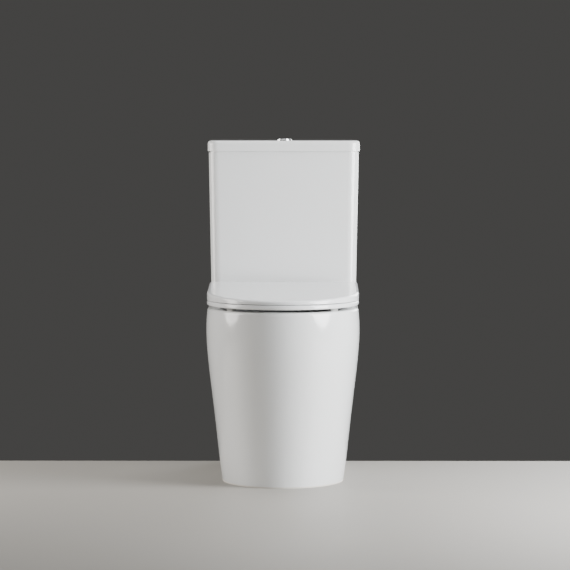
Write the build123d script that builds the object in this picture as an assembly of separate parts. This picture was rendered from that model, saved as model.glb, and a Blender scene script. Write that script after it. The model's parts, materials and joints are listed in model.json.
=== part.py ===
from build123d import *
from math import atan2, degrees
import os

# Close coupled toilet. Millimetres. +Z up, the floor at Z = 0, +X to the right of someone facing it.
# Y = 0 is halfway between the wall behind (+Y) and the nose of the seat (-Y).

# ---- overall sizes ----
DEPTH = 650.0               # wall to the nose of the seat
RIM_HEIGHT = 416.0          # floor to the top of the pan
TANK_HEIGHT = 364.0         # bottom of the tank to its rim
WALL_Y = DEPTH / 2

# ---- pan: an outline with straight sides and a half elliptical nose, at several heights ----
RIM_HALF_WIDTH = 180.0
BELLY_HALF_WIDTH = 182.0    # the widest place, a little below the rim
FOOT_HALF_WIDTH = 145.0
RIM_SETBACK = 8.0           # rim's front behind the seat's nose
FOOT_SETBACK = 56.0         # foot's front behind the seat's nose
RIM_NOSE = 222.0            # length of the elliptical nose at the rim
FOOT_NOSE = 192.0
# Each row: share of the height, share of the way from the foot's half width to the widest, and share of
# the way from the foot's front to the rim's.
PAN_PROFILE = ((0.0, 0.0, 0.0), (0.24, 0.333, 0.2), (0.51, 0.676, 0.52), (0.79, 1.0, 0.9), (1.0, 1.0, 1.0))
PAN_WALL = 12.0
PAN_BACK_TRIM = 10.0        # cut off the back, so that it is flat against the wall
NOTCH_HALF_WIDTH = 25.0     # deck's cut-out for the inlet, one on each side
DECK_THICKNESS = 24.0
RIM_ROUND = 6.0

# ---- bowl ----
BOWL_HALF_WIDTH = 140.0
BOWL_HALF_LENGTH = 157.5
BOWL_FRONT_LAND = 42.0      # seat's nose to the opening's front edge, plus the rim
BOWL_WALL = 10.0
SUMP_HEIGHT = 118.0         # inside of the sump's floor, above the floor of the room
SUMP_HALF_WIDTH = 32.0
SUMP_HALF_LENGTH = 44.0
SUMP_SETBACK = 62.0         # bowl's centre to the sump's, towards the wall
BOWL_FLARE = 6.0            # bowl's inside beyond the deck's opening
# Each row: share of the bowl's depth, and share of the way from its mouth's size to the sump's.
BOWL_PROFILE = ((0.0, 0.0), (0.22, 0.14), (0.48, 0.38), (0.74, 0.68), (0.94, 0.90), (1.0, 1.0))

# ---- trapway and outlet ----
TRAP_BORE_R = 27.5
TRAP_WALL = 10.0
TRAP_BEND_R = 45.0
TRAP_INLET_HEIGHT = 150.0
TRAP_START = 10.0           # sump's centre to the waterway's start
TRAP_LEVEL_END = 90.0       # sump's centre to where the waterway turns up
TRAP_WEIR_SETBACK = 165.0   # sump's centre to the top of the bend
TRAP_OUTLET_RUN = 75.0      # level stretch that ends at the outlet
WEIR_BELOW_RIM = 119.0      # rim to where the two legs would meet: the bend rounds it off lower
OUTLET_HEIGHT = 180.0       # centre of the outlet spigot above the floor
SPIGOT_R = 51.0
SPIGOT_BORE_R = 42.5
SPIGOT_LENGTH = 50.0
SPIGOT_SETBACK = 60.0       # wall to the spigot's end

# ---- flush channel under the deck ----
CHANNEL_HALF_WIDTH = 37.0
CHANNEL_HEIGHT = 44.0
CHANNEL_WALL = 8.0

# ---- tank ----
TANK_TOP_WIDTH = 370.0
TANK_BOTTOM_WIDTH = 357.0
TANK_TOP_DEPTH = 172.0
TANK_BOTTOM_DEPTH = 165.0
TANK_WALL = 10.0
TANK_FLOOR = 12.0
TANK_CORNER_R = 24.0
TANK_SETBACK = 8.0          # wall to the tank's back
TANK_GAP = 3.0              # deck to the tank's underside, filled by the gasket
WALL_SCREW_SPACING = 200.0
WALL_SCREW_HOLE_R = 4.0
WALL_SCREW_DROP = 40.0      # tank rim to the wall screw holes

# ---- cistern lid ----
LID_OVERHANG = 2.5
LID_FRONT_OVERHANG = 5.0
LID_HEIGHT = 26.5
LID_PLATE = 12.0
LID_WALL = 12.0
LID_SEAM = 3.0              # height of the shadow gap over the tank's rim
LID_SEAM_INSET = 6.0
LID_ROUND = 8.0
LID_RIB_DEPTH = 9.0
LID_RIB_GAP = 2.5
LID_RIB_WALL = 6.0

# ---- push button ----
BEZEL_R = 20.0
BEZEL_FLANGE = 2.5
BEZEL_BARREL_R = 18.5
BUTTON_R = 16.6
BUTTON_GAP = 0.6            # button to bezel, and each half to the middle
BUTTON_PROUD = 1.5
BUTTON_HEIGHT = 12.5
BUTTON_TRAVEL = 5.0
BUTTON_FLOOR = 3.0          # bezel's bottom plate
SPRING_PRESSED = 12.0       # room for a fully pressed spring
SPRING_WIRE_R = 0.6
SPRING_R = 4.8
SPRING_TURNS = 5
ROD_X = 9.0                 # each push rod from the middle
ROD_R = 3.0
ROD_HOLE_GAP = 0.6
ROD_SLACK = 3.0             # push rod's end over its lever

# ---- seat and seat lid ----
SEAT_HALF_WIDTH = 181.5
SEAT_NOSE = 226.0
SEAT_GAP = 7.0              # rim to the seat's underside, the height of the seat buffers
SEAT_THICKNESS = 11.0
SEAT_BACK = 237.0           # wall to the seat ring's back edge
SEAT_HOLE_HALF_WIDTH = 112.0
SEAT_HOLE_HALF_LENGTH = 138.0
SEAT_ROUND = 3.5
COVER_GAP = 1.5             # seat to the cover, the height of the cover buffers
COVER_EDGE = 9.0            # height of the cover's front edge
COVER_BACK = 197.0          # wall to the cover's back edge
COVER_BACK_HEIGHT = 30.5    # height of the cover's back edge
COVER_SKIN = 5.0
COVER_RIM = 12.0
COVER_ROUND = 5.5
COVER_CORNER_R = 15.0
BUFFER_SIZE = (26.0, 12.0)
COVER_BUFFER_R = 4.0

# ---- seat hinge ----
HINGE_SPACING = 155.0
HINGE_Y = WALL_Y - 215.0
HINGE_HEIGHT = 25.0         # rim to the hinge axis
BARREL_R = 11.0
BARREL_LENGTH = 17.5
BOSS_LENGTH = 19.0
BARREL_END_GAP = 0.5
PIN_R = 4.0
PIN_GAP = 0.05              # running clearance of a barrel on its pin
DAMPER_R = 7.5
DAMPER_DEPTH = 9.0
PIN_SEAT = 7.0              # depth of a pin's fixed end
POST_R = 9.5
PLATE_R = 18.0
PLATE_THICKNESS = 3.0
HINGE_BOLT_R = 4.0
HINGE_HOLE_R = 7.5
BUSH_GAP = 0.3

# ---- flush valve ----
VALVE_TAIL_R = 30.0
VALVE_BORE_R = 26.0
VALVE_HOLE_GAP = 1.0
VALVE_FLANGE_R = 44.0
VALVE_FLANGE = 5.0
WASHER = 2.0
CAGE_R = 42.0
CAGE_WALL = 4.0
CAGE_HEIGHT = 122.0
LIFT_R = 16.0
LIFT_WALL = 2.5
LIFT_GAP = 0.5
OVERFLOW_BELOW_RIM = 93.0
LEVER_RISE = 22.0           # lift tube's top to the lever pivots
LEVER_PIVOT_X = 20.0
LEVER_REACH = 26.0          # pivot to the lifting end
LEVER_WIDTH = 8.0
LEVER_THICKNESS = 6.0
LEVER_PIN_R = 2.0
SEAL_R = 34.0
SEAL_BORE_R = 24.0
SEAL_THICKNESS = 3.0
BRIDGE_HALF_LENGTH = 26.0
BRIDGE_INSIDE = 18.5        # middle to a cheek's inner face
BRIDGE_CHEEK = 3.0
YOKE_THICKNESS = 4.0
YOKE_INSIDE = 10.0          # middle to a yoke arm's inner face
GASKET_R = 56.0
GASKET_DEPTH = 18.0         # recess in the deck that holds the gasket
NUT_HEIGHT = 9.0

# ---- fill valve ----
FILL_X = -118.0
SHANK_R = 10.48             # half inch parallel thread
NECK_R = 11.4               # backnut's thread, wide enough for the nut to pass over the inlet's
NECK_HOLE_GAP = 0.7
SHANK_BELOW_TANK = 54.0
FILL_TUBE_R = 12.0
FILL_BORE_R = 5.0
FILL_FLANGE_R = 17.0
FILL_TUBE_HEIGHT = 253.0
FILL_HEAD_R = 18.0
FILL_HEAD_HEIGHT = 35.0
FILL_PIVOT_RISE = 16.0
FLOAT_R = 28.0
FLOAT_GAP = 1.0
FLOAT_HEIGHT = 70.0
FLOAT_DROP = 20.0           # tube's top to the float's top
FLOAT_ROD_X = 24.0          # float rod from the valve's axis
FLOAT_ROD_SLACK = 4.0       # float rod's top under its lever

# ---- coupling of the tank and the pan ----
COUPLING_SPACING = 150.0
COUPLING_BOLT_R = 4.0
COUPLING_HOLE_R = 5.5

# ---- fixing to the floor ----
BRACKET_Y = WALL_Y - 120.0
BRACKET_SIZE = (30.0, 30.0, 45.0)
BRACKET_FLANGE = (20.0, 8.0)
BRACKET_HOLE_R = 4.0
BRACKET_SPACING = 202.0     # between the two floor screw holes
SIDE_SCREW_HEIGHT = 32.0
SIDE_SCREW_R = 3.0
SIDE_SCREW_REACH = 3.0      # screw's end beyond the foot's half width
CAP_R = 8.0
CAP_PROUD = 2.5

# ---- worked out from the sizes above ----
TANK_Z = RIM_HEIGHT + TANK_GAP
TANK_RIM_Z = TANK_Z + TANK_HEIGHT
TANK_IN_Z = TANK_Z + TANK_FLOOR
TANK_BACK_Y = WALL_Y - TANK_SETBACK
TANK_Y = TANK_BACK_Y - TANK_BOTTOM_DEPTH / 2
LID_Z = TANK_RIM_Z + LID_SEAM
LID_TOP_Z = LID_Z + LID_HEIGHT
DECK_Z = RIM_HEIGHT - DECK_THICKNESS
BOWL_Y = -WALL_Y + BOWL_FRONT_LAND + RIM_SETBACK + BOWL_HALF_LENGTH
SUMP_Y = BOWL_Y + SUMP_SETBACK
SEAT_Z = RIM_HEIGHT + SEAT_GAP
SEAT_TOP_Z = SEAT_Z + SEAT_THICKNESS
COVER_Z = SEAT_TOP_Z + COVER_GAP
COVER_BACK_Y = WALL_Y - COVER_BACK
SEAT_BACK_Y = WALL_Y - SEAT_BACK
HINGE_Z = RIM_HEIGHT + HINGE_HEIGHT
HINGE_X = HINGE_SPACING / 2
OUTLET_Y = WALL_Y - SPIGOT_SETBACK
VALVE_SEAT_Z = TANK_IN_Z + WASHER + VALVE_FLANGE
CAGE_TOP_Z = VALVE_SEAT_Z + CAGE_HEIGHT
LIFT_TOP_Z = TANK_RIM_Z - OVERFLOW_BELOW_RIM
LEVER_Z = LIFT_TOP_Z + LEVER_RISE
FILL_TOP_Z = TANK_IN_Z + FILL_TUBE_HEIGHT
BUTTON_TOP_Z = LID_TOP_Z + BEZEL_FLANGE + BUTTON_PROUD
BUTTON_Z = BUTTON_TOP_Z - BUTTON_HEIGHT
BEZEL_Z = BUTTON_Z - BUTTON_TRAVEL - SPRING_PRESSED - BUTTON_FLOOR


def block(x, y, z):
    """A box from its (low, high) pairs."""
    size = [high - low for low, high in (x, y, z)]
    middle = [(high + low) / 2 for low, high in (x, y, z)]
    return Pos(*middle) * Box(*size)


def upright(radius, low, high, x=0.0, y=0.0):
    """A cylinder along Z from one height to another."""
    return Pos(x, y, (low + high) / 2) * Cylinder(radius, high - low)


def along_x(radius, low, high, y, z):
    return Pos((low + high) / 2, y, z) * Rot(0, 90, 0) * Cylinder(radius, high - low)


def along_y(radius, low, high, x, z):
    return Pos(x, (low + high) / 2, z) * Rot(90, 0, 0) * Cylinder(radius, high - low)


def ring(outer, inner, low, high, x=0.0, y=0.0):
    return upright(outer, low, high, x, y) - upright(inner, low - 1, high + 1, x, y)


def hexagon(radius, inner, low, high, x=0.0, y=0.0):
    """A hexagon nut, or a head when inner is nought."""
    body = Pos(x, y, low) * extrude(RegularPolygon(radius, 6), high - low)
    return body - upright(inner, low - 1, high + 1, x, y) if inner else body


def d_shape(half_width, front_y, nose, back_y, corner=0.0):
    """Straight sides from the back and a half elliptical nose at the front."""
    nose_y = front_y + nose
    curve = EllipticalCenterArc((0, nose_y), half_width, nose, start_angle=180, arc_size=180)
    sides = Polyline((half_width, nose_y), (half_width, back_y), (-half_width, back_y), (-half_width, nose_y))
    face = make_face([*curve.edges(), *sides.edges()])
    return fillet(face.vertices().group_by(Axis.Y)[-1], corner) if corner else face


def both_sides(shape):
    """The shape and its mirror image, as separate solids."""
    return Compound([*shape.solids(), *mirror(shape, about=Plane.YZ).solids()])


# ---------------------------------------------------------------- pan

def pan_sections(inset):
    """Outlines of the skirt from the foot to the rim, moved in by the inset."""
    sections = []
    for height, swell, forward in PAN_PROFILE:
        widest = RIM_HALF_WIDTH if height == 1.0 else BELLY_HALF_WIDTH
        half_width = FOOT_HALF_WIDTH + (widest - FOOT_HALF_WIDTH) * swell
        front = -WALL_Y + FOOT_SETBACK + (RIM_SETBACK - FOOT_SETBACK) * forward
        nose = FOOT_NOSE + (RIM_NOSE - FOOT_NOSE) * forward
        outline = d_shape(half_width - inset, front + inset, nose - inset,
                          WALL_Y + PAN_BACK_TRIM + inset)
        sections.append(Pos(0, 0, height * RIM_HEIGHT) * outline)
    return sections


def pan_outside():
    body = loft(pan_sections(0))
    top = body.edges().group_by(Axis.Z)[-1].filter_by(lambda edge: edge.center().Y < WALL_Y - 1)
    return fillet(top, RIM_ROUND)


def bowl_solid(growth):
    """Inside of the bowl when growth is nought, outside of it when growth is the wall."""
    depth = DECK_Z - SUMP_HEIGHT
    mouth_x = BOWL_HALF_WIDTH + BOWL_FLARE
    mouth_y = BOWL_HALF_LENGTH + BOWL_FLARE
    sections = []
    for down, closed in BOWL_PROFILE:
        half_x = mouth_x + (SUMP_HALF_WIDTH - mouth_x) * closed + growth
        half_y = mouth_y + (SUMP_HALF_LENGTH - mouth_y) * closed + growth
        section = Pos(0, BOWL_Y + SUMP_SETBACK * closed, DECK_Z - depth * down) * Ellipse(half_x, half_y)
        sections.append(section)
    body = loft(sections)
    if growth:
        foot = Ellipse(SUMP_HALF_WIDTH + growth, SUMP_HALF_LENGTH + growth)
        body += Pos(0, SUMP_Y, SUMP_HEIGHT - growth) * extrude(foot, growth)
    return body


def trap_path():
    """Centre line of the waterway, from inside the sump to the outlet."""
    points = [(SUMP_Y + TRAP_START, TRAP_INLET_HEIGHT), (SUMP_Y + TRAP_LEVEL_END, TRAP_INLET_HEIGHT),
              (SUMP_Y + TRAP_WEIR_SETBACK, RIM_HEIGHT - WEIR_BELOW_RIM),
              (OUTLET_Y - TRAP_OUTLET_RUN, OUTLET_HEIGHT), (OUTLET_Y, OUTLET_HEIGHT)]
    return FilletPolyline(*[(0, y, z) for y, z in points], radius=TRAP_BEND_R)


def trap_tube(radius):
    path = trap_path()
    return sweep(Plane(origin=path @ 0, z_dir=path % 0) * Circle(radius), path=path)


def channel_box(growth):
    """Inside of the flush channel when growth is nought."""
    front = BOWL_Y + BOWL_HALF_LENGTH - 20
    half = CHANNEL_HALF_WIDTH + growth
    return block((-half, half), (front, TANK_Y + CHANNEL_HALF_WIDTH + growth),
                 (DECK_Z - CHANNEL_HEIGHT - growth, DECK_Z))


def around_bowl(edge):
    """Whether an edge runs round the bowl's opening."""
    box = edge.bounding_box()
    return max(box.max.X, -box.min.X) < BOWL_HALF_WIDTH + 1 and box.max.Y < BOWL_Y + BOWL_HALF_LENGTH + 1


def make_pan():
    outside = pan_outside()
    inside = loft(pan_sections(PAN_WALL))
    screw = along_x(SIDE_SCREW_R + 0.5, -400, 400, BRACKET_Y, SIDE_SCREW_HEIGHT)
    before_wall = (-DEPTH, WALL_Y)
    skirt = (outside - inside - screw) & block((-400, 400), before_wall, (-1, RIM_HEIGHT))

    deck = outside & inside & block((-400, 400), before_wall, (DECK_Z, RIM_HEIGHT))
    opening = Pos(0, BOWL_Y, DECK_Z - 1) * extrude(Ellipse(BOWL_HALF_WIDTH, BOWL_HALF_LENGTH), 60)
    deck -= opening
    lip = deck.edges().group_by(Axis.Z)[-1].filter_by(lambda edge: around_bowl(edge))
    deck = fillet(lip, RIM_ROUND)
    deck -= upright(GASKET_R + 1, RIM_HEIGHT - GASKET_DEPTH, RIM_HEIGHT + 1, 0, TANK_Y)
    deck -= upright(VALVE_TAIL_R + 4, DECK_Z - 1, RIM_HEIGHT + 1, 0, TANK_Y)
    for side in (-1, 1):
        deck -= upright(COUPLING_HOLE_R, DECK_Z - 1, RIM_HEIGHT + 1, side * COUPLING_SPACING / 2, TANK_Y)
        deck -= upright(HINGE_HOLE_R, DECK_Z - 1, RIM_HEIGHT + 1, side * HINGE_X, HINGE_Y)
        notch = (side * FILL_X - NOTCH_HALF_WIDTH, side * FILL_X + NOTCH_HALF_WIDTH)
        deck -= block(notch, (TANK_Y - NOTCH_HALF_WIDTH, WALL_Y + 1), (DECK_Z - 1, RIM_HEIGHT + 1))

    water_in = trap_tube(TRAP_BORE_R)
    bowl_out = bowl_solid(BOWL_WALL)
    channel_in = channel_box(0)
    bowl = bowl_out - bowl_solid(0) - water_in - channel_in

    channel = channel_box(CHANNEL_WALL) - channel_in - bowl_out

    spigot_front = OUTLET_Y - SPIGOT_LENGTH
    spigot = along_y(SPIGOT_R, spigot_front, OUTLET_Y, 0, OUTLET_HEIGHT)
    spigot_bore = along_y(SPIGOT_BORE_R, spigot_front + 10, OUTLET_Y + 1, 0, OUTLET_HEIGHT)
    trapway = trap_tube(TRAP_BORE_R + TRAP_WALL) + spigot - spigot_bore - water_in - bowl_out - bowl_solid(0)
    return {"pan_skirt": skirt, "pan_deck": deck, "pan_bowl": bowl,
            "pan_flush_channel": channel, "pan_trapway": trapway}


# ---------------------------------------------------------------- cistern

def tank_solid(inset, low, high):
    """The tank's tapered shape between two heights, moved in by the inset."""
    sections = []
    for z in (low, high):
        share = (z - TANK_Z) / TANK_HEIGHT
        width = TANK_BOTTOM_WIDTH + (TANK_TOP_WIDTH - TANK_BOTTOM_WIDTH) * share - 2 * inset
        depth = TANK_BOTTOM_DEPTH + (TANK_TOP_DEPTH - TANK_BOTTOM_DEPTH) * share - 2 * inset
        section = RectangleRounded(width, depth, TANK_CORNER_R - inset)
        sections.append(Pos(0, TANK_BACK_Y - inset - depth / 2, z) * section)
    return loft(sections, ruled=True)


def make_tank():
    outside = tank_solid(0, TANK_Z, TANK_RIM_Z)
    outside = fillet(outside.edges().group_by(Axis.Z)[0], TANK_FLOOR - 2)
    tank = outside - tank_solid(TANK_WALL, TANK_IN_Z, TANK_RIM_Z + 1)
    tank -= upright(VALVE_TAIL_R + VALVE_HOLE_GAP, TANK_Z - 1, TANK_IN_Z + 1, 0, TANK_Y)
    tank -= upright(NECK_R + NECK_HOLE_GAP, TANK_Z - 1, TANK_IN_Z + 1, FILL_X, TANK_Y)
    for side in (-1, 1):
        tank -= upright(COUPLING_HOLE_R, TANK_Z - 1, TANK_IN_Z + 1, side * COUPLING_SPACING / 2, TANK_Y)
        tank -= along_y(WALL_SCREW_HOLE_R, TANK_BACK_Y - TANK_WALL - 5, TANK_BACK_Y + 1,
                        side * WALL_SCREW_SPACING / 2, TANK_RIM_Z - WALL_SCREW_DROP)
    return tank


def lid_outline(inset):
    """Plan of the cistern lid, moved in by the inset."""
    width = TANK_TOP_WIDTH + 2 * LID_OVERHANG - 2 * inset
    depth = TANK_TOP_DEPTH + LID_FRONT_OVERHANG + LID_OVERHANG - 2 * inset
    middle = TANK_BACK_Y + LID_OVERHANG - inset - depth / 2
    return Pos(0, middle) * RectangleRounded(width, depth, TANK_CORNER_R + LID_OVERHANG - inset)


def lid_slab(inset, low, high):
    return Pos(0, 0, low) * extrude(lid_outline(inset), high - low)


def make_cistern_lid():
    lid = lid_slab(0, LID_Z, LID_TOP_Z)
    lid = fillet(lid.edges().group_by(Axis.Z)[-1], LID_ROUND)
    lid = fillet(lid.edges().group_by(Axis.Z)[0], 1.5)
    lid += lid_slab(LID_SEAM_INSET, TANK_RIM_Z, LID_Z + 2)
    lid -= lid_slab(LID_WALL, TANK_RIM_Z - 1, LID_TOP_Z - LID_PLATE)
    rib = tank_solid(TANK_WALL + LID_RIB_GAP, TANK_RIM_Z - LID_RIB_DEPTH, TANK_RIM_Z)
    inner = tank_solid(TANK_WALL + LID_RIB_GAP + LID_RIB_WALL, TANK_IN_Z, TANK_RIM_Z)
    hollow = extrude(inner.faces().sort_by(Axis.Z)[-1], LID_SEAM * 2, dir=(0, 0, 1))
    foot = lid_slab(LID_SEAM_INSET, TANK_RIM_Z, TANK_RIM_Z + LID_SEAM * 2)
    lid += (foot - hollow) + (rib - inner)
    lid -= upright(BEZEL_BARREL_R + 0.5, TANK_RIM_Z, LID_TOP_Z + 1, 0, TANK_Y)
    return lid


# ---------------------------------------------------------------- push button

def make_buttons():
    bezel = upright(BEZEL_R, LID_TOP_Z, LID_TOP_Z + BEZEL_FLANGE, 0, TANK_Y)
    bezel = fillet(bezel.edges().group_by(Axis.Z)[-1], 1.2)
    bezel += upright(BEZEL_BARREL_R, BEZEL_Z, LID_TOP_Z, 0, TANK_Y)
    bezel -= upright(BUTTON_R + BUTTON_GAP, BEZEL_Z + BUTTON_FLOOR, LID_TOP_Z + 10, 0, TANK_Y)
    halves = {}
    for name, side in (("full", 1), ("half", -1)):
        x = side * ROD_X
        bezel -= upright(ROD_R + ROD_HOLE_GAP, BEZEL_Z - 1, BEZEL_Z + BUTTON_FLOOR + 1, x, TANK_Y)
        body = upright(BUTTON_R, BUTTON_Z, BUTTON_TOP_Z, 0, TANK_Y)
        near, far = sorted((side * BUTTON_GAP, side * BUTTON_R * 2))
        body &= block((near, far), (TANK_Y - 30, TANK_Y + 30), (BUTTON_Z, BUTTON_TOP_Z))
        halves[f"{name}_flush_button"] = fillet(body.edges().group_by(Axis.Z)[-1], 0.9)
        rod_end = LEVER_Z + LEVER_THICKNESS / 2 + ROD_SLACK
        halves[f"{name}_push_rod"] = upright(ROD_R, rod_end, BUTTON_Z, x, TANK_Y)
        low = BEZEL_Z + BUTTON_FLOOR + SPRING_WIRE_R
        height = BUTTON_Z - SPRING_WIRE_R - low
        coil = Helix(height / SPRING_TURNS, height, SPRING_R)
        section = Plane(origin=coil @ 0, z_dir=coil % 0) * Circle(SPRING_WIRE_R)
        wire = sweep(section, path=coil, is_frenet=True)
        halves[f"{name}_button_spring"] = Pos(x, TANK_Y, low) * wire
    plate_z = LID_TOP_Z - LID_PLATE
    halves["button_locknut"] = ring(BEZEL_BARREL_R + 7, BEZEL_BARREL_R, plate_z - 7, plate_z, 0, TANK_Y)
    return {"button_bezel": bezel, **halves}


# ---------------------------------------------------------------- seat

def make_seat_ring():
    seat = extrude(d_shape(SEAT_HALF_WIDTH, -WALL_Y, SEAT_NOSE, SEAT_BACK_Y, 40), SEAT_THICKNESS)
    seat -= Pos(0, BOWL_Y, -1) * extrude(Ellipse(SEAT_HOLE_HALF_WIDTH, SEAT_HOLE_HALF_LENGTH), 50)
    seat = fillet(seat.edges().filter_by(lambda edge: abs(edge.tangent_at(0).Z) < 0.5), SEAT_ROUND)
    seat = Pos(0, 0, SEAT_Z) * seat
    near = HINGE_X - BOSS_LENGTH / 2 - BARREL_END_GAP
    far = near - BARREL_LENGTH
    arm = block((far, near), (SEAT_BACK_Y - 12, HINGE_Y), (HINGE_Z - BARREL_R, HINGE_Z))
    seat_arm = arm + along_x(BARREL_R, far, near, HINGE_Y, HINGE_Z)
    seat_arm += block((far, near), (SEAT_BACK_Y - 12, SEAT_BACK_Y + 2), (SEAT_Z + 2, HINGE_Z - 4))
    seat += seat_arm + mirror(seat_arm, about=Plane.YZ)
    seat -= along_x(PIN_R, 0, near + 1, HINGE_Y, HINGE_Z)
    seat -= along_x(PIN_R + PIN_GAP, -near - 1, 0, HINGE_Y, HINGE_Z)
    return seat


def cover_wedge(half_width, front_y, nose, back_y, corner, lift):
    """The cover's sloping shape, its top moved down by the lift."""
    length = COVER_BACK_Y + WALL_Y
    slope = degrees(atan2(COVER_BACK_HEIGHT - COVER_EDGE, length))
    body = Pos(0, 0, COVER_Z) * extrude(d_shape(half_width, front_y, nose, back_y, corner), 60)
    knife = Pos(0, -WALL_Y, COVER_Z + COVER_EDGE - lift) * Rot(slope, 0, 0) * Pos(0, 0, 100)
    return body - knife * Box(900, 2000, 200)


def make_seat_cover():
    cover = cover_wedge(SEAT_HALF_WIDTH, -WALL_Y, SEAT_NOSE, COVER_BACK_Y, COVER_CORNER_R, 0)
    top = cover.faces().sort_by(Axis.Z)[-1]
    cover = fillet(top.edges(), COVER_ROUND)
    cover -= Pos(0, 0, -0.01) * cover_wedge(SEAT_HALF_WIDTH - COVER_RIM, -WALL_Y + COVER_RIM,
                                            SEAT_NOSE - COVER_RIM, COVER_BACK_Y - COVER_SKIN, 10, COVER_SKIN)
    near = HINGE_X + BOSS_LENGTH / 2 + BARREL_END_GAP
    far = near + BARREL_LENGTH
    relief = HINGE_Z + BARREL_R + 2
    cover -= block((-far - 6, far + 6), (HINGE_Y - 30, COVER_BACK_Y + 1), (COVER_Z - 1, relief))
    skin = COVER_Z + COVER_BACK_HEIGHT - COVER_SKIN + 1
    web = block((near, far), (HINGE_Y - BARREL_R, HINGE_Y + BARREL_R), (HINGE_Z, skin - 2))
    arm = web + along_x(BARREL_R, near, far, HINGE_Y, HINGE_Z)
    cover += arm + mirror(arm, about=Plane.YZ)
    cover -= along_x(PIN_R + PIN_GAP, near - 1, far + 10, HINGE_Y, HINGE_Z)
    cover -= along_x(PIN_R, -far - 10, -near + 1, HINGE_Y, HINGE_Z)
    return cover


def make_buffers():
    seat_pads = None
    for x, y in ((120, 85), (142, 345)):
        pad = extrude(SlotOverall(*BUFFER_SIZE), SEAT_GAP)
        turned = Pos(x, -WALL_Y + y, RIM_HEIGHT) * Rot(0, 0, 50 if y < 200 else 90) * pad
        seat_pads = turned if seat_pads is None else seat_pads + turned
    cover_x = SEAT_HALF_WIDTH - COVER_RIM / 2 - 1
    cover_pads = None
    for y in (BOWL_Y + 20, BOWL_Y + 150):
        pad = upright(COVER_BUFFER_R, SEAT_TOP_Z, COVER_Z, cover_x, y)
        cover_pads = pad if cover_pads is None else cover_pads + pad
    return {"seat_buffers": both_sides(seat_pads), "cover_buffers": both_sides(cover_pads)}


# ---------------------------------------------------------------- hinge

def make_hinges():
    nodes = {}
    plate_top = RIM_HEIGHT + PLATE_THICKNESS
    plate = ring(PLATE_R, HINGE_BOLT_R + 0.4, RIM_HEIGHT, plate_top, HINGE_X, HINGE_Y)
    nodes["hinge_plates"] = both_sides(plate)
    low = DECK_Z - 22
    bolt = upright(HINGE_BOLT_R, low, plate_top + 7, HINGE_X, HINGE_Y)
    nodes["hinge_bolts"] = both_sides(bolt)
    bush = upright(HINGE_HOLE_R - BUSH_GAP, DECK_Z, RIM_HEIGHT, HINGE_X, HINGE_Y)
    bush += upright(HINGE_HOLE_R + 4, DECK_Z - 18, DECK_Z, HINGE_X, HINGE_Y)
    nodes["hinge_bushes"] = both_sides(bush - bolt)
    for name, side in (("left", -1), ("right", 1)):
        x = side * HINGE_X
        low_x, high_x = x - BOSS_LENGTH / 2, x + BOSS_LENGTH / 2
        post = upright(POST_R, plate_top, HINGE_Z, x, HINGE_Y)
        post += along_x(BARREL_R, low_x, high_x, HINGE_Y, HINGE_Z)
        post -= upright(HINGE_BOLT_R, plate_top - 1, plate_top + 7, x, HINGE_Y)
        wide = (low_x - 1, low_x + DAMPER_DEPTH)
        narrow = (high_x - PIN_SEAT, high_x + 1)
        post -= along_x(DAMPER_R, *wide, HINGE_Y, HINGE_Z)
        post -= along_x(PIN_R, *narrow, HINGE_Y, HINGE_Z)
        nodes[f"hinge_post_{name}"] = post
    # Each post has a damper on its left face and a plain pin on its right face.
    reach = BARREL_END_GAP + BARREL_LENGTH
    for name, x, pin_name in (("cover", -HINGE_X, "seat"), ("seat", HINGE_X, "cover")):
        face = x - BOSS_LENGTH / 2
        damper = along_x(DAMPER_R, face, face + DAMPER_DEPTH, HINGE_Y, HINGE_Z)
        nodes[f"{name}_damper"] = damper - along_x(PIN_R + PIN_GAP, face - 1, face + DAMPER_DEPTH - 1,
                                                         HINGE_Y, HINGE_Z)
        shaft_end = face + DAMPER_DEPTH - 1.5
        nodes[f"{name}_damper_shaft"] = along_x(PIN_R, face - reach, shaft_end, HINGE_Y, HINGE_Z)
        end = x + BOSS_LENGTH / 2
        nodes[f"{pin_name}_pivot_pin"] = along_x(PIN_R, end - PIN_SEAT, end + reach, HINGE_Y, HINGE_Z)
    return nodes


# ---------------------------------------------------------------- flush valve

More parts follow.
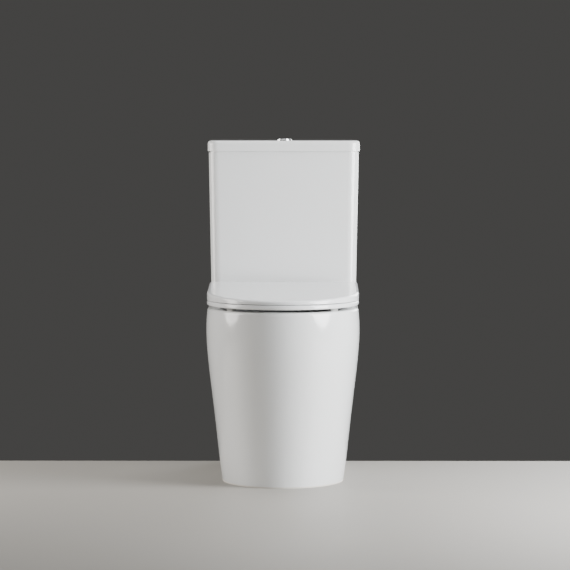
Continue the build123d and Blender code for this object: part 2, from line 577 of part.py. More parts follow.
def make_flush_valve():
    y = TANK_Y
    nodes = {}
    tail_z = RIM_HEIGHT - GASKET_DEPTH + 2
    base = upright(VALVE_TAIL_R, tail_z, TANK_IN_Z + WASHER, 0, y)
    base += upright(VALVE_FLANGE_R, TANK_IN_Z + WASHER, VALVE_SEAT_Z, 0, y)
    nodes["flush_valve_base"] = base - upright(VALVE_BORE_R, tail_z - 1, VALVE_SEAT_Z + 1, 0, y)
    nodes["flush_valve_washer"] = ring(VALVE_FLANGE_R, VALVE_TAIL_R, TANK_IN_Z, TANK_IN_Z + WASHER, 0, y)
    nut_z = TANK_Z - NUT_HEIGHT
    nodes["flush_valve_backnut"] = hexagon(VALVE_FLANGE_R - 2, VALVE_TAIL_R, nut_z, TANK_Z, 0, y)
    nodes["coupling_gasket"] = ring(GASKET_R, VALVE_FLANGE_R - 1, RIM_HEIGHT - GASKET_DEPTH, TANK_Z, 0, y)

    cage = ring(CAGE_R, CAGE_R - CAGE_WALL, VALVE_SEAT_Z, CAGE_TOP_Z, 0, y)
    cage += ring(CAGE_R, LIFT_R + LIFT_GAP, CAGE_TOP_Z - CAGE_WALL, CAGE_TOP_Z, 0, y)
    for turn in (45, 135):
        window = Pos(0, y, VALVE_SEAT_Z + 22) * Rot(0, 0, turn) * Box(2 * CAGE_R + 4, 26, 28)
        cage -= window
    nodes["flush_valve_cage"] = cage

    bridge = None
    for side in (-1, 1):
        y_near, y_far = sorted((y + side * BRIDGE_INSIDE, y + side * (BRIDGE_INSIDE + BRIDGE_CHEEK)))
        cheek = block((-BRIDGE_HALF_LENGTH, BRIDGE_HALF_LENGTH), (y_near, y_far), (CAGE_TOP_Z, LEVER_Z + 6))
        cheek -= block((-12, 12), (y_near - 1, y_far + 1), (CAGE_TOP_Z + 14, LEVER_Z - 14))
        bridge = cheek if bridge is None else bridge + cheek
    for pivot in (-LEVER_PIVOT_X, LEVER_PIVOT_X):
        bridge -= along_y(LEVER_PIN_R, y - 25, y + 25, pivot, LEVER_Z)
    nodes["lever_bridge"] = Compound(bridge.solids())
    pin = along_y(LEVER_PIN_R, y - 22, y + 22, LEVER_PIVOT_X, LEVER_Z)
    nodes["lever_pins"] = both_sides(pin)

    seal_z = VALVE_SEAT_Z + SEAL_THICKNESS
    nodes["flush_valve_seal"] = ring(SEAL_R, SEAL_BORE_R, VALVE_SEAT_Z, seal_z, 0, y)
    lift = upright(LIFT_R, seal_z, LIFT_TOP_Z, 0, y) + upright(SEAL_R, seal_z, seal_z + 4, 0, y)
    yoke_z = LEVER_Z + LEVER_THICKNESS / 2 + ROD_SLACK
    yoke_top = yoke_z + YOKE_THICKNESS
    yoke_outside = YOKE_INSIDE + YOKE_THICKNESS
    arm_end = LEVER_PIVOT_X + LEVER_REACH + 4
    for side in (-1, 1):
        y_near, y_far = sorted((y + side * YOKE_INSIDE, y + side * yoke_outside))
        lift += block((-5, arm_end), (y_near, y_far), (yoke_z, yoke_top))
        lift += block((-5, 5), (y_near, y_far), (LIFT_TOP_Z - 12, yoke_top))
    lift += block((arm_end - 7, arm_end), (y - yoke_outside, y + yoke_outside), (yoke_z, yoke_top))
    nodes["lift_tube"] = lift - upright(LIFT_R - LIFT_WALL, seal_z - 1, LIFT_TOP_Z + 1, 0, y)

    half = LEVER_WIDTH / 2
    thick = LEVER_THICKNESS / 2
    for name, side in (("full", 1), ("half", -1)):
        ends = sorted((side * (ROD_X - 4), side * (LEVER_PIVOT_X + LEVER_REACH)))
        arm = block(ends, (y - half, y + half), (LEVER_Z - thick, LEVER_Z + thick))
        hole = along_y(LEVER_PIN_R + PIN_GAP, y - 9, y + 9, side * LEVER_PIVOT_X, LEVER_Z)
        nodes[f"{name}_flush_lever"] = arm - hole

    shutter_x = -(LEVER_PIVOT_X + LEVER_REACH + 3)
    strap = block((shutter_x - 3, shutter_x), (y - 6, y + 6), (VALVE_SEAT_Z + 50, yoke_top))
    hook = block((shutter_x - 3, shutter_x + 8), (y - 6, y + 6), (yoke_z, yoke_top))
    gate = ring(-shutter_x + 3, CAGE_R + 1, VALVE_SEAT_Z + 50, VALVE_SEAT_Z + 80, 0, y)
    gate &= block((shutter_x - 10, shutter_x + 12), (y - 18, y + 18), (VALVE_SEAT_Z, CAGE_TOP_Z))
    nodes["half_flush_shutter"] = strap + hook + gate
    return nodes


# ---------------------------------------------------------------- fill valve

def make_fill_valve():
    x, y = FILL_X, TANK_Y
    nodes = {}
    shank_z = TANK_Z - SHANK_BELOW_TANK
    seat_z = TANK_IN_Z + WASHER
    body = upright(SHANK_R, shank_z, TANK_Z - NUT_HEIGHT, x, y)
    body += upright(NECK_R, TANK_Z - NUT_HEIGHT, seat_z, x, y)
    body += upright(FILL_FLANGE_R, seat_z, seat_z + 4, x, y)
    body += upright(FILL_TUBE_R, seat_z + 4, FILL_TOP_Z, x, y)
    nodes["fill_valve_body"] = body - upright(FILL_BORE_R, shank_z - 1, FILL_TOP_Z + 1, x, y)
    nodes["fill_valve_washer"] = ring(FILL_FLANGE_R, NECK_R, TANK_IN_Z, seat_z, x, y)
    nodes["fill_valve_backnut"] = hexagon(FILL_FLANGE_R, NECK_R, TANK_Z - NUT_HEIGHT, TANK_Z, x, y)
    nodes["inlet_filter"] = ring(FILL_BORE_R, FILL_BORE_R - 1.5, shank_z + 2, shank_z + 26, x, y)

    head_top = FILL_TOP_Z + FILL_HEAD_HEIGHT
    head = upright(FILL_HEAD_R, FILL_TOP_Z, head_top, x, y)
    head = fillet(head.edges().group_by(Axis.Z)[-1], 3)
    pivot_z = head_top + FILL_PIVOT_RISE
    for side in (-1, 1):
        y_near, y_far = sorted((y + side * 4.5, y + side * 8))
        head += block((x - 5, x + 5), (y_near, y_far), (head_top - 2, pivot_z + 5))
    head -= along_y(LEVER_PIN_R, y - 12, y + 12, x, pivot_z)
    nodes["fill_valve_head"] = head
    nodes["fill_lever_pin"] = along_y(LEVER_PIN_R, y - 9, y + 9, x, pivot_z)
    lever = block((x - 4, x + FLOAT_ROD_X + 5), (y - 3, y + 3), (pivot_z - 3, pivot_z + 3))
    nodes["fill_lever"] = lever - along_y(LEVER_PIN_R + PIN_GAP, y - 9, y + 9, x, pivot_z)

    float_top = FILL_TOP_Z - FLOAT_DROP
    cup = ring(FLOAT_R, FILL_TUBE_R + FLOAT_GAP, float_top - FLOAT_HEIGHT, float_top, x, y)
    nodes["fill_float"] = fillet(cup.edges().group_by(Axis.Z)[-1], 2)
    nodes["float_rod"] = upright(1.8, float_top, pivot_z - 3 - FLOAT_ROD_SLACK, x + FLOAT_ROD_X, y)
    return nodes


# ---------------------------------------------------------------- coupling and floor fixing

def make_coupling():
    x, y = COUPLING_SPACING / 2, TANK_Y
    bolt = upright(COUPLING_BOLT_R, DECK_Z - 24, TANK_IN_Z + 3, x, y)
    bolt += hexagon(8, 0, TANK_IN_Z + 3, TANK_IN_Z + 9, x, y)
    wing = ring(8, COUPLING_BOLT_R, DECK_Z - 13, DECK_Z - 3, x, y)
    wing += block((x - 16, x + 16), (y - 1.5, y + 1.5), (DECK_Z - 12, DECK_Z - 4)) - upright(7, 0, 900, x, y)
    return {"coupling_bolts": both_sides(bolt),
            "coupling_bolt_seals": both_sides(ring(12, COUPLING_BOLT_R, TANK_IN_Z, TANK_IN_Z + 3, x, y)),
            "coupling_washers": both_sides(ring(11, COUPLING_BOLT_R + 0.5, DECK_Z - 3, DECK_Z, x, y)),
            "coupling_wing_nuts": both_sides(wing)}


def foot_half_width(height):
    """The skirt's half width at a height in its lowest stretch."""
    top, swell, _ = PAN_PROFILE[1]
    return FOOT_HALF_WIDTH + (BELLY_HALF_WIDTH - FOOT_HALF_WIDTH) * swell * height / (top * RIM_HEIGHT)


def make_floor_fixing(skirt):
    width, length, height = BRACKET_SIZE
    flange, thickness = BRACKET_FLANGE
    hole_x = BRACKET_SPACING / 2
    start = hole_x - flange / 2
    y_span = (BRACKET_Y - length / 2, BRACKET_Y + length / 2)
    bracket = block((start, start + flange), y_span, (0, thickness))
    bracket += block((start + flange, start + width + 8), y_span, (0, height))
    bracket -= upright(BRACKET_HOLE_R, -1, thickness + 1, hole_x, BRACKET_Y)
    end = FOOT_HALF_WIDTH + SIDE_SCREW_REACH
    bracket -= along_x(SIDE_SCREW_R, start + flange - 1, end, BRACKET_Y, SIDE_SCREW_HEIGHT)
    screw = along_x(SIDE_SCREW_R, start + flange, end, BRACKET_Y, SIDE_SCREW_HEIGHT)
    surface = foot_half_width(SIDE_SCREW_HEIGHT)
    cap = along_x(CAP_R, surface - 3, surface + CAP_PROUD, BRACKET_Y, SIDE_SCREW_HEIGHT) - skirt - screw
    return {"floor_brackets": both_sides(bracket), "side_screws": both_sides(screw),
            "screw_caps": both_sides(cap.solids().sort_by(Axis.X)[-1])}


def main():
    os.makedirs("parts", exist_ok=True)
    nodes = make_pan()
    nodes["cistern"] = make_tank()
    nodes["cistern_lid"] = make_cistern_lid()
    nodes["seat_ring"] = make_seat_ring()
    nodes["seat_cover"] = make_seat_cover()
    for group in (make_buttons(), make_buffers(), make_hinges(), make_flush_valve(), make_fill_valve(),
                  make_coupling(), make_floor_fixing(nodes["pan_skirt"])):
        nodes.update(group)
    for name, shape in nodes.items():
        export_step(Compound(shape.solids()) if len(shape.solids()) > 1 else shape.solids()[0],
                    f"parts/{name}.step")


main()
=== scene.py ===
import json
import math

import bpy
from bpy.props import FloatProperty, FloatVectorProperty, PointerProperty
from bpy.types import Operator, Panel, PropertyGroup
from mathutils import Matrix, Vector

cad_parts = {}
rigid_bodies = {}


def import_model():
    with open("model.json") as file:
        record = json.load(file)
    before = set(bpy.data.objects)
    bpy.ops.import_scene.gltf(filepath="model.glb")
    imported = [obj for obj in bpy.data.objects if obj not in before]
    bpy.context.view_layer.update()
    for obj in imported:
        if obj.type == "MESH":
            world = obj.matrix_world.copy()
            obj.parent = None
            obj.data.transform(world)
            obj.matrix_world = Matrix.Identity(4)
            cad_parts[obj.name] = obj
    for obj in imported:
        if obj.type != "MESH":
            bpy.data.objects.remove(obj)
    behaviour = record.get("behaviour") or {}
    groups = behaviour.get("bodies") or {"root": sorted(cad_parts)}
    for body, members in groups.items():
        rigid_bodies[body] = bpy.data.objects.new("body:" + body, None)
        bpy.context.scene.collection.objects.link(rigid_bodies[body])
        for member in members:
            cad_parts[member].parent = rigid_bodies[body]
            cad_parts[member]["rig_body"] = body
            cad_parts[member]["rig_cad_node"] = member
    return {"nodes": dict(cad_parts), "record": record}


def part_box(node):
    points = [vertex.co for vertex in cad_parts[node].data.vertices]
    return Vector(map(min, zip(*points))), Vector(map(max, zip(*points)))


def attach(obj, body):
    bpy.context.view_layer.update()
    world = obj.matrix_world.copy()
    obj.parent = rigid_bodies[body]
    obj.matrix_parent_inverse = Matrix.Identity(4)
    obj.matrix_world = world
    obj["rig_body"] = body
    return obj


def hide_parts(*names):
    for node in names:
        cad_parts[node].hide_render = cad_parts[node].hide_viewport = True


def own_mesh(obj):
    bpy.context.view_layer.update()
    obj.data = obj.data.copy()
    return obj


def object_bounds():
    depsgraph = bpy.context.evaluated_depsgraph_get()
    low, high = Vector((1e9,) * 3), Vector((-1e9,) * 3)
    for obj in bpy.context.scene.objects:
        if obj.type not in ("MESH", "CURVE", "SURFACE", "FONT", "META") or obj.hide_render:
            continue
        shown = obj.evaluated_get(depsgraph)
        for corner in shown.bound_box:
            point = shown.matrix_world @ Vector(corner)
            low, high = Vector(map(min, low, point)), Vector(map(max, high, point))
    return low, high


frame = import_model()
NODES = frame["nodes"]
CAD_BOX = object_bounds()

bl_info = {
    "name": "Close coupled toilet",
    "version": (1, 0, 0),
    "blender": (4, 5, 0),
    "location": "3D View > Sidebar > Toilet",
    "description": "Finishes a close coupled toilet: fired china, seat, chrome and the parts in the cistern",
    "category": "Object",
}


# ---------------------------------------------------------------- materials

BLACK = (0.05, 0.05, 0.05)              # rubber and sponge
SPECK = (0.42, 0.38, 0.33)              # brown specks in the glaze
BISCUIT_DARK = (0.60, 0.57, 0.52)       # bare china where the foot is ground
BISCUIT_LIGHT = (0.76, 0.73, 0.68)

# Lengths in metres.
GLAZE_WANDER = 0.0022                   # how far the glaze's lower edge wanders
GLAZE_FADE = 0.0004                     # fade of the glaze on each side of that edge
THREAD_FADE = 0.0005                    # fade of a moulded thread at its top
FILTER_PITCH = 0.0008                   # from ring to ring of the inlet filter
BAND_PITCH = math.pi / 10               # from band to band of a Wave node whose scale is 1


class Value:
    """A shader socket in sums: each operation adds a Math node."""

    def __init__(self, tree, socket):
        self.tree = tree
        self.socket = socket

    def math(self, operation, *numbers):
        return self.tree.add("ShaderNodeMath", {"operation": operation}, dict(enumerate([self, *numbers])))

    def __add__(self, other):
        return self.math("ADD", other)

    def __sub__(self, other):
        return self.math("SUBTRACT", other)

    def __rsub__(self, other):
        return self.tree.add("ShaderNodeMath", {"operation": "SUBTRACT"}, {0: other, 1: self})

    def __mul__(self, other):
        return self.math("MULTIPLY", other)

    def __truediv__(self, other):
        return self.math("DIVIDE", other)

    def above(self, other):
        return self.math("GREATER_THAN", other)


class Finish:
    """A material with one Principled shader."""

    def __init__(self, name):
        self.material = bpy.data.materials.new(name)
        self.material.use_nodes = True
        self.nodes = self.material.node_tree.nodes
        self.links = self.material.node_tree.links
        self.shader = self.nodes["Principled BSDF"]

    def add(self, kind, settings=None, inputs=None, output=0):
        """Adds a node: its settings first, then the values or links of its sockets."""
        node = self.nodes.new(kind)
        for setting, value in (settings or {}).items():
            setattr(node, setting, value)
        for socket, value in (inputs or {}).items():
            self.feed(node.inputs[socket], value)
        return Value(self, node.outputs[output])

    def feed(self, socket, value):
        if isinstance(value, Value):
            self.links.new(value.socket, socket)
        else:
            socket.default_value = value

    def place(self):
        """Where a point is on its object."""
        return self.add("ShaderNodeTexCoord", output="Object")

    def axis(self, letter):
        return self.add("ShaderNodeSeparateXYZ", inputs={0: self.place()}, output=letter)

    def noise(self, scale, detail=2.0, roughness=0.5, stretch=None):
        place = self.place()
        if stretch:
            place = self.add("ShaderNodeMapping", inputs={"Vector": place, "Scale": stretch})
        inputs = {"Vector": place, "Scale": scale, "Detail": detail, "Roughness": roughness}
        return self.add("ShaderNodeTexNoise", inputs=inputs, output="Fac")

    def thread(self, pitch):
        """Upright screw thread: even bands along Z, one to each pitch."""
        settings = {"wave_type": "BANDS", "bands_direction": "Z"}
        inputs = {"Vector": self.place(), "Scale": BAND_PITCH / pitch, "Distortion": 0.0}
        return self.add("ShaderNodeTexWave", settings, inputs, output="Fac")

    def mix(self, factor, first, second):
        """A colour between two colours, from the node's inputs 6 and 7 and its output 2."""
        return self.add("ShaderNodeMix", {"data_type": "RGBA"}, {0: factor, 6: first, 7: second}, output=2)

    def tint(self, factor, colour, dark, light=1.0):
        """A colour between a darker and a lighter shade of itself."""
        return self.mix(factor, rgba(colour, dark), rgba(colour, light))

    def bump(self, height, distance, strength=1.0, under=None):
        inputs = {"Height": height, "Distance": distance, "Strength": strength}
        if under:
            inputs["Normal"] = under
        return self.add("ShaderNodeBump", inputs=inputs)

    def shade(self, **sockets):
        for name, value in sockets.items():
            self.feed(self.shader.inputs[name.replace("_", " ").title().replace("Ior", "IOR")], value)
        return self.material


def rgba(colour, brightness=1.0):
    return (colour[0] * brightness, colour[1] * brightness, colour[2] * brightness, 1.0)


def smooth_mask(value, low, high):
    """0 below low, 1 above high and even between them."""
    share = (value - low) / (high - low)
    return share.math("MAXIMUM", 0.0).math("MINIMUM", 1.0)


def glazed_china(name, colour, ground_below=None):
    """White glaze with a soft orange peel, clouding and specks, and bare biscuit below a given height."""
    finish = Finish(name)
    cloud = finish.noise(scale=3.0, detail=3.0)
    peel = finish.noise(scale=95.0, detail=1.5, roughness=0.4)
    swell = finish.noise(scale=11.0, detail=1.0, roughness=0.3)
    speck = finish.noise(scale=900.0, detail=0.0).above(0.80)
    glaze = finish.tint(cloud, colour, 0.975)
    glaze = finish.mix(speck * 0.25, glaze, rgba(SPECK))
    roughness = cloud * 0.04 + 0.11
    bump = finish.bump(swell, distance=0.0012, strength=0.35)
    bump = finish.bump(peel, distance=0.00012, strength=0.5, under=bump)
    if ground_below is not None:
        grain = finish.noise(scale=420.0, detail=4.0, roughness=0.7)
        edge = finish.noise(scale=60.0, detail=2.0) * GLAZE_WANDER + ground_below
        bare = 1.0 - smooth_mask(finish.axis("Z") - edge, -GLAZE_FADE, GLAZE_FADE)
        glaze = finish.mix(bare, glaze, finish.mix(grain, rgba(BISCUIT_DARK), rgba(BISCUIT_LIGHT)))
        roughness = roughness + bare * 0.65
        bump = finish.bump(grain * bare, distance=0.0004, strength=0.6, under=bump)
    return finish.shade(base_color=glaze, roughness=roughness, normal=bump, coat_weight=0.25,
                        coat_roughness=0.12, ior=1.52)


def seat_plastic(name, colour):
    """Pressed white thermoset: even, glossy, with a very fine ripple and soft handling marks."""
    finish = Finish(name)
    cloud = finish.noise(scale=6.0, detail=3.0)
    ripple = finish.noise(scale=60.0, detail=2.0)
    hairline = finish.noise(scale=240.0, detail=3.0, roughness=0.6, stretch=(1.0, 0.12, 1.0))
    base = finish.tint(cloud, colour, 0.98)
    roughness = cloud * 0.04 + smooth_mask(hairline, 0.60, 0.78) * 0.05 + 0.10
    bump = finish.bump(ripple, distance=0.0002, strength=0.3)
    bump = finish.bump(hairline, distance=0.00002, strength=0.4, under=bump)
    return finish.shade(base_color=base, roughness=roughness, normal=bump, coat_weight=0.25,
                        coat_roughness=0.06, ior=1.5)


def chrome(name, colour):
    """Plated and polished, with faint wiping marks and a little haze."""
    finish = Finish(name)
    haze = finish.noise(scale=55.0, detail=4.0, roughness=0.6)
    wipe = finish.noise(scale=700.0, detail=2.0, stretch=(1.0, 0.08, 1.0))
    base = finish.tint(haze, colour, 0.94)
    roughness = haze * 0.06 + smooth_mask(wipe, 0.58, 0.75) * 0.08 + 0.05
    bump = finish.bump(wipe, distance=0.00001, strength=0.35)
    return finish.shade(base_color=base, roughness=roughness, metallic=1.0, normal=bump)


def steel(name, colour, pitch=None):
    """Drawn stainless steel, with a thread of the given pitch where there is one, and painted shade in the
    thread's grooves.
    """
    finish = Finish(name)
    drawn = finish.noise(scale=500.0, detail=3.0, roughness=0.6, stretch=(1.0, 1.0, 0.05))
    stain = finish.noise(scale=90.0, detail=4.0, roughness=0.65)
    base = finish.tint(stain, colour, 0.86)
    bump = finish.bump(drawn, distance=0.00003, strength=0.5)
    if pitch:
        thread = finish.thread(pitch)
        bump = finish.bump(thread, distance=pitch / 2, strength=0.8, under=bump)
        # Painted shade: the colour darkens in the grooves of the thread.
        base = finish.mix(thread, rgba(colour, 0.55), base)
    return finish.shade(base_color=base, roughness=drawn * 0.18 + 0.22, metallic=1.0, normal=bump)


def rubber(name, colour):
    """Moulded rubber with a dull bloom."""
    finish = Finish(name)
    bloom = finish.noise(scale=120.0, detail=4.0, roughness=0.6)
    grain = finish.noise(scale=1400.0, detail=2.0)
    base = finish.tint(bloom, colour, 0.82)
    roughness = bloom * 0.2 + 0.55
    bump = finish.bump(grain, distance=0.00006, strength=0.6)
    return finish.shade(base_color=base, roughness=roughness, normal=bump)


def foam(name, colour):
    """Closed cell sponge: small round cells, with painted shade in their hollows."""
    finish = Finish(name)
    inputs = {"Vector": finish.place(), "Scale": 650.0}
    cell = finish.add("ShaderNodeTexVoronoi", inputs=inputs, output="Distance")
    # Painted shade: the colour darkens towards the hollow of each cell and lightens towards its rim.
    base = finish.tint(smooth_mask(cell, 0.2, 0.7), colour, 0.5, 1.5)
    bump = finish.bump(cell, distance=0.0006, strength=0.8)
    return finish.shade(base_color=base, roughness=0.9, normal=bump)


def moulded_plastic(name, colour, pitch=None, thread_below=None):
    """Injection moulded plastic with a fine spark texture and flow clouding, and a thread below a height,
    with painted shade in bands along the thread.
    """
    finish = Finish(name)
    flow = finish.noise(scale=22.0, detail=3.0, roughness=0.55, stretch=(1.0, 1.0, 0.35))
    spark = finish.noise(scale=1600.0, detail=2.0, roughness=0.6)
    base = finish.tint(flow, colour, 0.93)
    bump = finish.bump(spark, distance=0.00004, strength=0.5)
    if pitch:
        thread = finish.thread(pitch)
        on_thread = 1.0 - smooth_mask(finish.axis("Z"), thread_below - THREAD_FADE, thread_below)
        # Painted shade: the colour darkens in bands along the thread, by up to 35 percent.
        base = finish.mix(thread * on_thread * 0.35, base, rgba(colour, 0.6))
        bump = finish.bump(thread * on_thread, distance=pitch / 2, strength=0.8, under=bump)
    return finish.shade(base_color=base, roughness=flow * 0.12 + 0.30, normal=bump, ior=1.49)


# ---------------------------------------------------------------- shaping

SMOOTH_ANGLE = math.radians(32)         # edges of a new piece flatter than this are shaded smooth
MERGE_DISTANCE = 0.00001                # metres


def copy_of(node):
    """A loose copy of a CAD node with its doubled points merged."""
    bpy.ops.object.select_all(action="DESELECT")
    NODES[node].select_set(True)
    bpy.context.view_layer.objects.active = NODES[node]
    bpy.ops.object.duplicate()
    piece = bpy.context.active_object
    piece.parent = None
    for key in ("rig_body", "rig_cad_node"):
        if key in piece:
            del piece[key]
    piece.data.materials.clear()
    bpy.ops.object.mode_set(mode="EDIT")
    bpy.ops.mesh.select_all(action="SELECT")
    bpy.ops.mesh.remove_doubles(threshold=MERGE_DISTANCE)
    bpy.ops.object.mode_set(mode="OBJECT")
    return piece


def travel_of(joint):
    """How far a sliding joint goes, in metres."""
    return next(row["range_m"][1] for row in frame["record"]["behaviour"]["joints"] if row["name"] == joint)


def finish_with(material, *nodes):
    """Gives CAD nodes or new pieces their finish."""
    for node in nodes:
        piece = NODES[node] if isinstance(node, str) else node
        piece.data.materials.clear()
        piece.data.materials.append(material)


# ---------------------------------------------------------------- sizes and colours

class ChinaSettings(PropertyGroup):
    colour: FloatVectorProperty(name="Glaze", description="Colour of the white glaze", subtype="COLOR",
                                default=(0.80, 0.81, 0.81), min=0.0, max=1.0)
    ground_foot: FloatProperty(name="Ground foot", description="Height of the bare ground band at the floor",
                               default=0.002, unit="LENGTH")


class FittingsSettings(PropertyGroup):
    seat_colour: FloatVectorProperty(name="Seat", description="Colour of the seat and its cover",
                                     subtype="COLOR", default=(0.82, 0.83, 0.84), min=0.0, max=1.0)
    chrome_colour: FloatVectorProperty(name="Chrome", description="Colour of the plating", subtype="COLOR",
                                       default=(0.78, 0.79, 0.80), min=0.0, max=1.0)
    steel_colour: FloatVectorProperty(name="Steel", description="Colour of the stainless steel",
                                      subtype="COLOR", default=(0.58, 0.58, 0.59), min=0.0, max=1.0)
    bolt_pitch: FloatProperty(name="Bolt pitch", description="Pitch of the bolts' thread", default=0.00125,
                              unit="LENGTH")
    inlet_pitch: FloatProperty(name="Inlet pitch", description="Pitch of the inlet shank's thread",
                               default=0.00181, unit="LENGTH")


class StageSettings(PropertyGroup):
    camera_height: FloatProperty(name="Camera height", description="Camera above the floor", default=0.886,
                                 unit="LENGTH")
    camera_distance: FloatProperty(name="Camera distance", description="Camera in front of the wall",
                                   default=8.0, unit="LENGTH")
    camera_side: FloatProperty(name="Camera side", description="Camera to the right of the centre line",
                               default=0.056, unit="LENGTH")
    lens: FloatProperty(name="Lens", description="Focal length for a 36 mm wide sensor, in millimetres",
                        default=200.3)
    camera_tilt: FloatProperty(name="Camera tilt", description="How far the camera looks down",
                               default=math.radians(3.145), unit="ROTATION")
    camera_turn: FloatProperty(name="Camera turn", description="How far the camera looks to the left",
                               default=math.radians(0.385), unit="ROTATION")
    floor_colour: FloatVectorProperty(name="Floor", description="Colour of the floor", subtype="COLOR",
                                      default=(0.32, 0.305, 0.28), min=0.0, max=1.0)
    backdrop_colour: FloatVectorProperty(name="Surroundings", description="Colour of the light all round",
                                         subtype="COLOR", default=(0.065, 0.064, 0.062), min=0.0, max=1.0)


FLOOR_WIDTH = 12.0                      # metres
FLOOR_DEPTH = 8.5
SENSOR_WIDTH = 36.0                     # millimetres, as the lens is

# Soft round lights: name, place, what it points at, diameter in metres, watts, colour.
LIGHTS = (
    ("key_window", (1.8, -0.85, 0.85), (0.0, -0.05, 0.42), 1.4, 130.0, (0.98, 0.99, 1.0)),
    ("left_fill", (-2.0, -0.1, 0.9), (0.0, 0.0, 0.4), 1.4, 46.0, (1.0, 0.97, 0.93)),
    ("ceiling", (0.0, -0.1, 2.6), (0.0, 0.0, 0.4), 1.8, 34.0, (1.0, 1.0, 1.0)),
    ("rear_fill", (1.3, 2.6, 1.2), (0.0, 0.2, 0.4), 1.6, 40.0, (1.0, 1.0, 1.0)),
)


# ---------------------------------------------------------------- operators

class TOILET_OT_pan(Operator):
    """Glaze the pan, with a bare ground foot"""
    bl_idname = "toilet.pan"
    bl_label = "Pan"

    def execute(self, context):
        settings = context.scene.toilet_china
        finish_with(glazed_china("pan_glaze", settings.colour, settings.ground_foot), "pan_skirt", "pan_deck",
                    "pan_bowl", "pan_flush_channel", "pan_trapway")
        return {"FINISHED"}


class TOILET_OT_cistern(Operator):
    """Glaze the cistern and its lid"""
    bl_idname = "toilet.cistern"
    bl_label = "Cistern"

    def execute(self, context):
        settings = context.scene.toilet_china
        finish_with(glazed_china("cistern_glaze", settings.colour), "cistern", "cistern_lid")
        return {"FINISHED"}


class TOILET_OT_seat(Operator):
    """Finish the seat ring, its cover, their buffers and hinge plates"""
    bl_idname = "toilet.seat"
    bl_label = "Seat and cover"

    def execute(self, context):
        settings = context.scene.toilet_fittings
        finish_with(seat_plastic("seat_gloss", settings.seat_colour), "seat_ring", "seat_cover",
                    "hinge_plates")
        finish_with(rubber("clear_buffer", (0.34, 0.34, 0.33)), "seat_buffers", "cover_buffers")
        return {"FINISHED"}


class TOILET_OT_hinges(Operator):
    """Finish the hinge posts, pins, dampers, bolts and bushes"""
    bl_idname = "toilet.hinges"
    bl_label = "Hinges"

    def execute(self, context):
        settings = context.scene.toilet_fittings
        finish_with(chrome("hinge_chrome", settings.chrome_colour), "hinge_post_left", "hinge_post_right")
        finish_with(steel("pin_steel", settings.steel_colour), "seat_pivot_pin", "cover_pivot_pin",
                    "seat_damper_shaft", "cover_damper_shaft")
        finish_with(moulded_plastic("damper_grey", (0.30, 0.31, 0.32)), "seat_damper", "cover_damper")
        finish_with(steel("hinge_bolt_steel", settings.steel_colour, settings.bolt_pitch), "hinge_bolts")
        finish_with(rubber("bush_rubber", (0.06, 0.06, 0.06)), "hinge_bushes")
        return {"FINISHED"}


class TOILET_OT_button(Operator):
    """Finish the dual push button, its springs, rods and locknut"""
    bl_idname = "toilet.button"
    bl_label = "Push button"

    def execute(self, context):
        settings = context.scene.toilet_fittings
        finish_with(chrome("button_chrome", settings.chrome_colour), "button_bezel", "full_flush_button",
                    "half_flush_button")
        wire = steel("spring_steel", settings.steel_colour)
        for half in ("full", "half"):
            self.add_spring(half, wire)
        finish_with(moulded_plastic("rod_white", (0.78, 0.78, 0.76)), "full_push_rod", "half_push_rod")
        finish_with(moulded_plastic("locknut_grey", (0.35, 0.36, 0.37)), "button_locknut")
        return {"FINISHED"}

    def add_spring(self, half, wire):
        """A return spring that stands on the bezel's floor: a smooth shaded copy of its CAD node, carried by
        the cistern lid.
        """
        node = f"{half}_button_spring"
        low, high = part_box(node)
        spring = copy_of(node)
        spring.name = f"{half}_return_spring"
        bpy.ops.object.shade_smooth_by_angle(angle=SMOOTH_ANGLE)
        finish_with(wire, spring)
        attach(spring, "cistern_lid")
        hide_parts(node)
        height = high[2] - low[2]
        press = f"{half}_flush_press"
        (height - travel_of(press)) / height
        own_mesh(spring)


class TOILET_OT_flush_valve(Operator):
    """Finish the flush valve with its levers, pins, seal, washer and nut, and the coupling gasket"""
    bl_idname = "toilet.flush_valve"
    bl_label = "Flush valve"

    def execute(self, context):
        settings = context.scene.toilet_fittings
        finish_with(moulded_plastic("valve_white", (0.74, 0.75, 0.74)), "flush_valve_base",
                    "flush_valve_cage", "lever_bridge")
        finish_with(moulded_plastic("tube_grey", (0.55, 0.57, 0.58)), "lift_tube", "flush_valve_backnut")
        finish_with(moulded_plastic("lever_blue", (0.05, 0.17, 0.50)), "full_flush_lever", "half_flush_lever",
                    "half_flush_shutter")
        finish_with(rubber("seal_black", BLACK), "flush_valve_seal", "flush_valve_washer")
        finish_with(foam("gasket_foam", BLACK), "coupling_gasket")
        finish_with(steel("lever_pin_steel", settings.steel_colour), "lever_pins")
        return {"FINISHED"}


class TOILET_OT_fill_valve(Operator):
    """Finish the fill valve, its float, lever, filter and nut"""
    bl_idname = "toilet.fill_valve"
    bl_label = "Fill valve"

    def execute(self, context):
        settings = context.scene.toilet_fittings
        tank_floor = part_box("fill_valve_washer")[0][2]
        shank = moulded_plastic("shank_white", (0.76, 0.76, 0.73), settings.inlet_pitch, tank_floor)
        finish_with(shank, "fill_valve_body")
        finish_with(moulded_plastic("head_white", (0.76, 0.76, 0.73)), "fill_valve_head")
        finish_with(moulded_plastic("nut_white", (0.70, 0.70, 0.68)), "fill_valve_backnut")
        finish_with(moulded_plastic("float_grey", (0.34, 0.36, 0.38)), "fill_float", "float_rod")
        finish_with(moulded_plastic("fill_lever_red", (0.50, 0.05, 0.04)), "fill_lever")
        finish_with(rubber("fill_washer_black", BLACK), "fill_valve_washer")
        finish_with(steel("filter_mesh", settings.steel_colour, FILTER_PITCH), "inlet_filter")
        finish_with(steel("fill_pin_steel", settings.steel_colour), "fill_lever_pin")
        return {"FINISHED"}


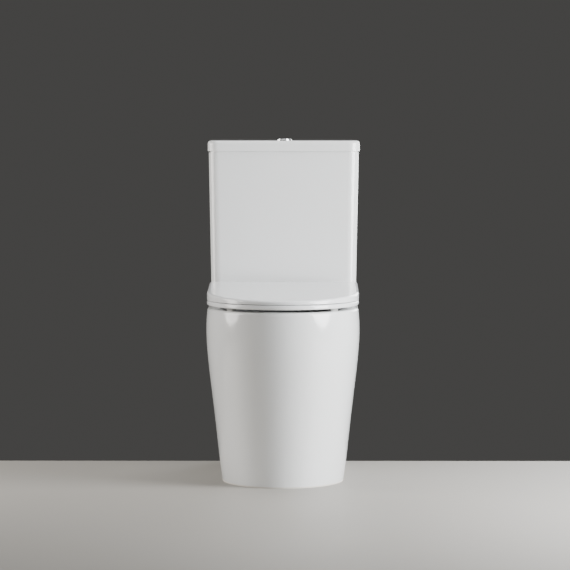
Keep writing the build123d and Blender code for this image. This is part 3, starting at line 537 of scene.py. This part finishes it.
class TOILET_OT_fixings(Operator):
    """Finish the coupling bolts, and the brackets, screws and caps that hold the pan to the floor"""
    bl_idname = "toilet.fixings"
    bl_label = "Fixings"

    def execute(self, context):
        settings = context.scene.toilet_fittings
        finish_with(steel("coupling_steel", settings.steel_colour, settings.bolt_pitch), "coupling_bolts",
                    "side_screws")
        finish_with(steel("wing_nut_steel", settings.steel_colour), "coupling_wing_nuts")
        finish_with(rubber("coupling_rubber", BLACK), "coupling_bolt_seals", "coupling_washers")
        finish_with(moulded_plastic("bracket_white", (0.70, 0.70, 0.67)), "floor_brackets")
        finish_with(moulded_plastic("cap_white", (0.80, 0.81, 0.81)), "screw_caps")
        return {"FINISHED"}


class TOILET_OT_stage(Operator):
    """Set the floor, the soft light and the camera"""
    bl_idname = "toilet.stage"
    bl_label = "Stage"

    def execute(self, context):
        settings = context.scene.toilet_stage
        wall = CAD_BOX[1][1]    # the object's back is against the wall
        self.add_floor(settings, wall)
        for light in LIGHTS:
            self.add_light(*light)
        self.add_surroundings(context, settings)
        self.add_camera(context, settings, wall)
        return {"FINISHED"}

    def add_floor(self, settings, wall):
        """A plain floor that ends at the line of the wall."""
        bpy.ops.object.select_all(action="DESELECT")
        bpy.ops.mesh.primitive_plane_add(size=1.0, location=(0.0, 0.0, 0.0))
        floor = bpy.context.active_object
        floor.name = "floor"
        stretch = Matrix.Diagonal((FLOOR_WIDTH, FLOOR_DEPTH, 1.0, 1.0))
        floor.data.transform(Matrix.Translation((0.0, wall - FLOOR_DEPTH / 2, 0.0)) @ stretch)
        finish = Finish("floor_screed")
        cloud = finish.noise(scale=0.8, detail=4.0)
        base = finish.tint(cloud, settings.floor_colour, 0.94, 1.06)
        finish_with(finish.shade(base_color=base, roughness=0.55), floor)

    def add_light(self, name, place, target, size, power, colour):
        bpy.ops.object.light_add(type="AREA", location=place)
        light = bpy.context.active_object
        light.name = name
        light.data.shape = "DISK"
        light.data.size = size
        light.data.energy = power
        light.data.color = colour
        light.rotation_euler = (Vector(target) - Vector(place)).to_track_quat("-Z", "Y").to_euler()

    def add_surroundings(self, context, settings):
        world = bpy.data.worlds.new("surroundings")
        world.use_nodes = True
        world.node_tree.nodes["Background"].inputs["Color"].default_value = rgba(settings.backdrop_colour)
        context.scene.world = world

    def add_camera(self, context, settings, wall):
        place = (settings.camera_side, wall - settings.camera_distance, settings.camera_height)
        bpy.ops.object.camera_add(location=place)
        camera = bpy.context.active_object
        camera.name = "camera"
        camera.data.lens = settings.lens
        camera.data.sensor_width = SENSOR_WIDTH
        camera.rotation_euler = (math.pi / 2 - settings.camera_tilt, 0.0, settings.camera_turn)
        context.scene.camera = camera


OPERATORS = (TOILET_OT_pan, TOILET_OT_cistern, TOILET_OT_seat, TOILET_OT_hinges, TOILET_OT_button,
             TOILET_OT_flush_valve, TOILET_OT_fill_valve, TOILET_OT_fixings, TOILET_OT_stage)


class TOILET_PT_sidebar(Panel):
    """Lists the toilet's steps in the sidebar"""
    bl_label = "Close coupled toilet"
    bl_idname = "TOILET_PT_sidebar"
    bl_space_type = "VIEW_3D"
    bl_region_type = "UI"
    bl_category = "Toilet"

    def draw(self, context):
        scene = context.scene
        for operator in OPERATORS:
            self.layout.operator(operator.bl_idname)
        for settings in (scene.toilet_china, scene.toilet_fittings, scene.toilet_stage):
            for name in settings.__annotations__:
                self.layout.prop(settings, name)


CLASSES = (ChinaSettings, FittingsSettings, StageSettings, *OPERATORS, TOILET_PT_sidebar)


def register():
    for cls in CLASSES:
        bpy.utils.register_class(cls)
    bpy.types.Scene.toilet_china = PointerProperty(type=ChinaSettings)
    bpy.types.Scene.toilet_fittings = PointerProperty(type=FittingsSettings)
    bpy.types.Scene.toilet_stage = PointerProperty(type=StageSettings)


def unregister():
    for name in ("toilet_china", "toilet_fittings", "toilet_stage"):
        delattr(bpy.types.Scene, name)
    for cls in reversed(CLASSES):
        bpy.utils.unregister_class(cls)


def main():
    register()
    for operator in OPERATORS:
        group, step = operator.bl_idname.split(".")
        getattr(getattr(bpy.ops, group), step)()


if __name__ == "__main__":
    main()
